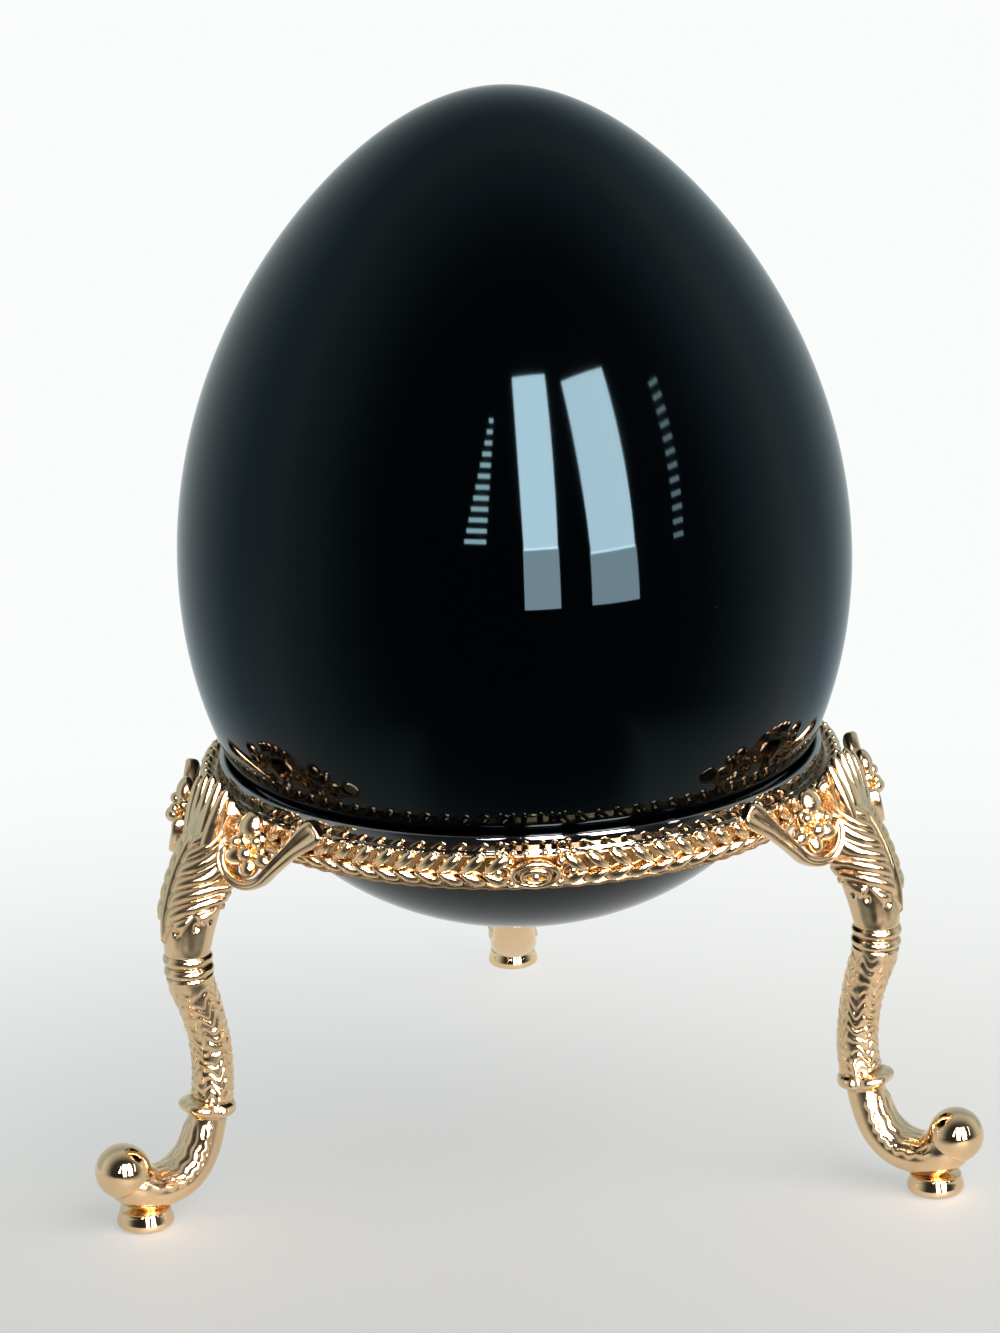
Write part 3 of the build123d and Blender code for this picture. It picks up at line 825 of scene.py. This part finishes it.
def build_leg():
    """One leg over +X: its skin, the fan of lobes over the knee and the polished ball."""
    bm = bmesh.new()
    rolled_skin(bm, around=120, along=420, place=leg_point)
    bmesh.ops.holes_fill(bm, edges=bm.edges, sides=0)
    for index in range(FAN_LOBES):
        lean = 2 * index / (FAN_LOBES - 1) - 1
        root = Vector((FAN_ROOT.x, lean * FAN_ROOT.y, FAN_ROOT.z))
        tip = Vector((FAN_TIP.x, lean * FAN_TIP.y, FAN_TIP.z - FAN_ARCH * lean**2))
        where = basis((root + tip) / 2, tip - root, (1, 0, 0))
        length = (tip - root).length + FAN_OVERLAP
        leaf_drop(bm, where, length, width=1.5, height=1.7, pinch=0.0, facets=FAN_FACETS)
    ball = bead(bm, (PAD_CIRCLE + BALL_OUT, 0, BALL_HEIGHT), BALL_RADIUS, facets=(64, 40))
    for vert in ball:
        for face in vert.link_faces:
            face.material_index = 1
    return bm


def build_pad():
    """One turned pad over +X."""
    bm = bmesh.new()
    waist = (PAD_ROUND + PAD_HEIGHT) / 2
    profile = [
        (0, 0),
        *arc_points((PAD_RADIUS - PAD_ROUND, PAD_ROUND), PAD_ROUND, start=-90, end=0, steps=8),
        (PAD_RADIUS - 0.06, PAD_ROUND + 0.3),
        ((PAD_RADIUS + PAD_TOP_RADIUS) / 2 - 0.04, waist + 0.1),
        (PAD_TOP_RADIUS + 0.02, PAD_HEIGHT - 0.2),
        (PAD_TOP_RADIUS, PAD_HEIGHT - 0.05),
        (PAD_TOP_RADIUS - 0.08, PAD_HEIGHT),
        (0, PAD_HEIGHT),
    ]
    lathe(bm, profile, steps=72, out=PAD_CIRCLE)
    return bm


# Scroll brackets
def add_flower(bm, heart, along, up, out):
    """Petals round a heart, a crest leaf above them and beads on top."""
    for index in range(PETALS):
        turn = math.tau * index / PETALS + PETAL_TURN
        away = along * math.cos(turn) + up * math.sin(turn)
        size = 1 + PETAL_UNEVEN * math.sin(index * 2.4)
        where = basis(heart + away * PETAL_OUT, away + out * 0.6, out)
        leaf_drop(bm, where, 2.3 * size, 1.8 * size, height=1.7, pinch=0.3, facets=PETAL_FACETS)
    crest = basis(heart + up * CREST_RISE + out * 0.2, up + along * 0.3, out)
    leaf_drop(bm, crest, length=2.6, width=2.2, height=1.6, pinch=0.2, facets=PETAL_FACETS)
    for across, rise, lift, radius, facets in FLOWER_BEADS:
        bead(bm, heart + along * across + up * rise + out * lift, radius, facets)


def build_scroll(hand):
    """The bracket on one side of the leg over +X: a hooked ribbon with a flower in the hook."""
    lean = math.tan(math.radians(SCROLL_LEAN))
    tip_up = HOOK_DROP + SCROLL_TIP_RISE
    level = LIP_TOP - HOOK_DROP
    near = polar(hand * SCROLL_NEAR_ANGLE, BOSS_FACE + SCROLL_NEAR_OUT, level)
    far = polar(hand * SCROLL_FAR_ANGLE, BAND_OUTER_TOP + SCROLL_FAR_OUT + lean * tip_up, level)
    along = (far - near).normalized()
    leaning = Vector((0, 0, 1)) - polar(hand * (SCROLL_NEAR_ANGLE + SCROLL_FAR_ANGLE) / 2, lean, 0)
    out = along.cross(leaning).normalized() * hand
    up = out.cross(along) * hand

    def on_face(across, height, lift=0.0):
        return near + along * across + up * height + out * lift

    # The hook's arc, and the curve that leaves it for the tip
    centre = Vector((HOOK_OUT, 0))
    turn_end = math.radians(180 + HOOK_TURN)
    leave = centre + HOOK_RADIUS * Vector((math.cos(turn_end), math.sin(turn_end)))
    heading = Vector((-math.sin(turn_end), math.cos(turn_end)))
    tip = Vector(((far - near).length, tip_up))
    reach = (tip - leave).length
    chord = (tip - leave) / reach
    arrive = 2 * chord.dot(heading) * chord - heading
    leave_pull = leave + heading * reach * STRAP_BEND
    tip_pull = tip - arrive * reach * STRAP_BEND

    def strap_spot(share):
        if share < 0.5:
            turn = math.radians(180 - HOOK_TAIL + (HOOK_TURN + HOOK_TAIL) * share * 2)
            spot = centre + HOOK_RADIUS * Vector((math.cos(turn), math.sin(turn)))
            return spot, Vector((-math.sin(turn), math.cos(turn)))
        part = share * 2 - 1
        rest = 1 - part
        spot = leave * rest**3 + leave_pull * 3 * rest**2 * part
        spot += tip_pull * 3 * rest * part**2 + tip * part**3
        run = (leave_pull - leave) * rest**2 + (tip_pull - leave_pull) * 2 * rest * part
        run += (tip - tip_pull) * part**2
        return spot, run.normalized()

    def strap_point(turn, share):
        spot, run = strap_spot(min(max((share - STRAP_INSET) / (1 - 2 * STRAP_INSET), 0), 1))
        side = Vector((-run.y, run.x))
        angle = math.tau * turn
        past = max(0, STRAP_END - share, share - (1 - STRAP_END))
        end = math.sqrt(max(0, 1 - past**2 / STRAP_END**2))
        spread = STRAP_SPREAD * ease(0.72, 0.92, share)
        broad = ease(0.4, 0.78, share)
        deep = STRAP_WIDTH / 2 * (1 - STRAP_NARROWS * broad) * end
        thick = (STRAP_THICKNESS / 2 + STRAP_THICKENS * broad + spread) * end
        groove = (STRAP_GROOVE + 0.4 * spread) * swell(math.sin(angle), 0, 0.5)
        groove *= end * ease(0.99, 0.93, share)
        lift = math.copysign(abs(math.cos(angle)) ** STRAP_SQUARE, math.cos(angle)) * deep
        if lift > 0:
            lift -= groove
        place = spot + side * math.sin(angle) * thick
        return on_face(place.x, place.y, lift)

    bm = bmesh.new()
    rolled_skin(bm, around=40, along=120, place=strap_point)
    add_flower(bm, on_face(FLOWER_OUT, HOOK_DROP - FLOWER_DROP), along, up, out)
    return bm


# Pieces
finish_piece(build_egg(), "egg_body", "egg", BLACK_GLASS, "egg")
finish_piece(build_ring(), "seat_ring_body", "stand", BRIGHT_NICKEL, "seat_ring")
# The band's ground takes the darker gilt, which paints the shade behind the leaves, with some tarnish
finish_piece(build_ground(), "band_ground", "stand", GILT_PAINTED_SHADE, "laurel_band")
finish_piece(build_leaves(), "band_leaves", "stand", GILT_CAST)
finish_piece(build_medallions(), "band_medallions", "stand", GILT_CAST)
place_three(build_leg(), "leg_{}_cast", GILT_CAST, "leg_{}", polished=GILT_PLAIN)
place_three(build_pad(), "pad_{}_turned", GILT_PLAIN, "foot_pad_{}")
for hand, letter in ((1, "a"), (-1, "b")):
    place_three(build_scroll(hand), f"scroll_{{}}_{letter}_cast", GILT_CAST, f"scroll_{{}}_{letter}")

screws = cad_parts["leg_screws"]
screws.data.materials.clear()
screws.data.materials.append(BRIGHT_STEEL)

# Room as mirrors see it from the egg's middle: tones from behind the object, at 0, to its front, at 1
EGG_MIDDLE = 0.06
ROOM_FRONT = (0.12, -0.98, 0.17)
ROOM_TONES = [
    (0.0, (0.62, 0.69, 0.7)),
    (0.3, (0.38, 0.54, 0.62)),
    (0.46, (0.72, 0.77, 0.78)),
    (0.6, (0.52, 0.56, 0.57)),
    (0.7, (0.24, 0.27, 0.28)),
    (0.8, (0.045, 0.05, 0.055)),
    (1.0, (0.012, 0.014, 0.018)),
]
# The room's tone dims between these heights of a direction, to this share
ROOM_DIMS = (0.45, 0.85)
ROOM_DIMMED = 0.8

# Floor: its glow grows with the distance from a spot in front of the object
FLOOR_SIZE = 3.0
FLOOR_DROP = 0.00005
FLOOR_GLOW = (0.96, 0.975, 0.965, 1)
GLOW_FROM = (-0.01, -0.12, 0)
GLOW_RANGE = (0.04, 0.24)
GLOW_LEAST = 0.3
# Where mirrors see the room's tone in its place: far off, and in a wedge between the front legs
FAR_RANGE = (0.055, 0.11)
WEDGE_RANGE = (0.72, 0.9)
WEDGE_START = (0.022, 0.036)


def room_tone(tree, direction):
    """Tone of the room in a direction: black in front, lightest at the sides, teal behind."""
    front = join_vector(tree, "DOT_PRODUCT", direction, ROOM_FRONT)
    return colour_ramp(tree, map_range(tree, front, (-1, 1), kind="LINEAR"), ROOM_TONES)


def white_paper():
    """Matt white paper that glows softly to the camera and in mirrors, and lights nothing by it."""
    material, tree, shader, place = new_finish("white_paper")
    tone = grained_colour(tree, noise(tree, place, PAPER_GRAIN, detail=2.0), PAPER)
    tree.links.new(tone, shader.inputs["Base Color"])
    shader.inputs["Roughness"].default_value = 0.6
    shader.inputs["Specular IOR Level"].default_value = 0.2
    path = tree.nodes.new("ShaderNodeLightPath")
    in_mirror = path.outputs["Is Glossy Ray"]

    glow = tree.nodes.new("ShaderNodeEmission")
    glow.inputs["Color"].default_value = FLOOR_GLOW
    from_front = join_vector(tree, "DISTANCE", place, GLOW_FROM)
    away = map_range(tree, from_front, GLOW_RANGE, (GLOW_LEAST, 1.0))
    seen = join_values(tree, "MAXIMUM", path.outputs["Is Camera Ray"], in_mirror)
    glowing = join_values(tree, "MULTIPLY", seen, away)
    pale = mix_shaders(tree, glowing, shader.outputs["BSDF"], glow.outputs["Emission"])

    room = tree.nodes.new("ShaderNodeEmission")
    below = join_vector(tree, "ADD", place, (0, 0, -EGG_MIDDLE), "Vector")
    aim = join_vector(tree, "NORMALIZE", below, result="Vector")
    tree.links.new(room_tone(tree, aim), room.inputs["Color"])
    distance = join_vector(tree, "LENGTH", place)
    heading = join_vector(tree, "NORMALIZE", place, result="Vector")
    wedge = map_range(tree, join_vector(tree, "DOT_PRODUCT", heading, (0, -1, 0)), WEDGE_RANGE)
    between = join_values(tree, "MULTIPLY", wedge, map_range(tree, distance, WEDGE_START))
    either = join_values(tree, "MAXIMUM", map_range(tree, distance, FAR_RANGE), between)
    mirrored = join_values(tree, "MULTIPLY", in_mirror, either)
    final = mix_shaders(tree, mirrored, pale, room.outputs["Emission"])
    tree.links.new(final, tree.nodes["Material Output"].inputs["Surface"])
    return material


floor_mesh = bpy.data.meshes.new("floor")
bm = bmesh.new()
bmesh.ops.create_grid(bm, x_segments=1, y_segments=1, size=FLOOR_SIZE)
bmesh.ops.translate(bm, vec=(0, 0, -FLOOR_DROP), verts=bm.verts)
bm.to_mesh(floor_mesh)
bm.free()
floor_mesh.materials.append(white_paper())
floor = bpy.data.objects.new("floor", floor_mesh)
bpy.context.scene.collection.objects.link(floor)

# World: white to the camera, and the room's tones, a little dimmer above, to everything else
world = bpy.data.worlds.new("studio")
bpy.context.scene.world = world
world.use_nodes = True
tree = world.node_tree
direction = tree.nodes.new("ShaderNodeTexCoord").outputs["Generated"]
apart = tree.nodes.new("ShaderNodeSeparateXYZ")
tree.links.new(direction, apart.inputs["Vector"])
dim = tree.nodes.new("ShaderNodeVectorMath")
dim.operation = "SCALE"
tree.links.new(room_tone(tree, direction), dim.inputs[0])
overhead = map_range(tree, apart.outputs["Z"], ROOM_DIMS, (1.0, ROOM_DIMMED), "LINEAR")
tree.links.new(overhead, dim.inputs["Scale"])
pick = tree.nodes.new("ShaderNodeMix")
pick.data_type = "RGBA"
pick.inputs["B"].default_value = (1, 1, 1, 1)
tree.links.new(tree.nodes.new("ShaderNodeLightPath").outputs["Is Camera Ray"], pick.inputs["Factor"])
tree.links.new(dim.outputs["Vector"], pick.inputs["A"])
tree.links.new(pick.outputs["Result"], tree.nodes["Background"].inputs["Color"])

# Lamps: the panes of a window and the slats of its shutters show in mirrors only, and one soft
# lamp, which mirrors don't show, gives the light
LAMP_AWAY = 0.5
WINDOW_LIGHT = (1.0, 0.87, 0.88)
WARM_WHITE = (1.0, 0.98, 0.95)
# Panes: azimuth, elevation, width and height as the egg sees them, and radiance
WINDOW_PANES = {
    "window_near": (-83.5, 24.0, 11.4, 36.0, 62.0),
    "window_far": (-60.0, 22.0, 15.5, 36.0, 58.0),
    "window_near_low": (-83.5, -0.2, 11.4, 13.4, 25.0),
    "window_far_low": (-60.0, -2.2, 15.5, 13.4, 23.0),
}
# Shutters: azimuth, elevation and width of the lowest and the highest slat, and radiance
SHUTTERS = {
    "slat_near": ((-104.5, 8.0, 7.0), (-99.5, 33.0, 1.4), 34.0),
    "slat_far": ((-37.0, 4.0, 3.6), (-31.0, 32.0, 3.6), 12.0),
}
SLATS = 12
SLAT_HEIGHT = 0.95
SOFT_LAMP = (-42.0, 42.0, 60.0, 44.0, 4.6)


def lamp(name, azimuth, elevation, width, height, radiance, colour):
    """A pane of light that faces the egg, with its place and size in degrees as the egg sees it."""
    light = bpy.data.lights.new(name, "AREA")
    light.shape = "RECTANGLE"
    light.size = 2 * LAMP_AWAY * math.tan(math.radians(width / 2))
    light.size_y = 2 * LAMP_AWAY * math.tan(math.radians(height / 2))
    light.energy = radiance * math.pi * light.size * light.size_y
    light.color = colour
    holder = bpy.data.objects.new(name, light)
    rise = math.radians(elevation)
    aim = polar(azimuth, math.cos(rise), math.sin(rise))
    holder.location = aim * LAMP_AWAY + Vector((0, 0, EGG_MIDDLE))
    holder.rotation_euler = aim.to_track_quat("Z", "Y").to_euler()
    holder.visible_camera = False
    bpy.context.scene.collection.objects.link(holder)
    return holder


panes = [lamp(name, *pane, WINDOW_LIGHT) for name, pane in WINDOW_PANES.items()]
for index in range(SLATS):
    share = index / (SLATS - 1)
    for name, (lowest, highest, radiance) in SHUTTERS.items():
        azimuth, elevation, width = (low + (high - low) * share for low, high in zip(lowest, highest))
        slat = lamp(f"{name}_{index}", azimuth, elevation, width, SLAT_HEIGHT, radiance, WARM_WHITE)
        panes.append(slat)
for pane in panes:
    pane.visible_diffuse = False
soft = lamp("soft_light", *SOFT_LAMP, WARM_WHITE)
soft.visible_glossy = False

# Camera at the photograph's place, in millimetres before its heading turns it; pitch and roll in radians
CAMERA_SPOT = Vector((-1.602, -328.194, 140.614))
CAMERA_LENS = 102.76
CAMERA_SENSOR = 36.0
CAMERA_NEAR = 0.01
HEADING = math.radians(-1.7085)
PITCH = 0.287099
ROLL = 0.0315

camera = bpy.data.cameras.new("camera")
camera.sensor_fit = "VERTICAL"
camera.sensor_height = CAMERA_SENSOR
camera.lens = CAMERA_LENS
camera.clip_start = CAMERA_NEAR
viewer = bpy.data.objects.new("camera", camera)
viewer.matrix_world = (
    Matrix.Rotation(HEADING, 4, "Z")
    @ Matrix.Translation(CAMERA_SPOT * MM)
    @ Matrix.Rotation(math.pi / 2 - PITCH, 4, "X")
    @ Matrix.Rotation(-ROLL, 4, "Z")
)
bpy.context.scene.collection.objects.link(viewer)
bpy.context.scene.camera = viewer
bpy.context.scene.view_settings.view_transform = "Standard"
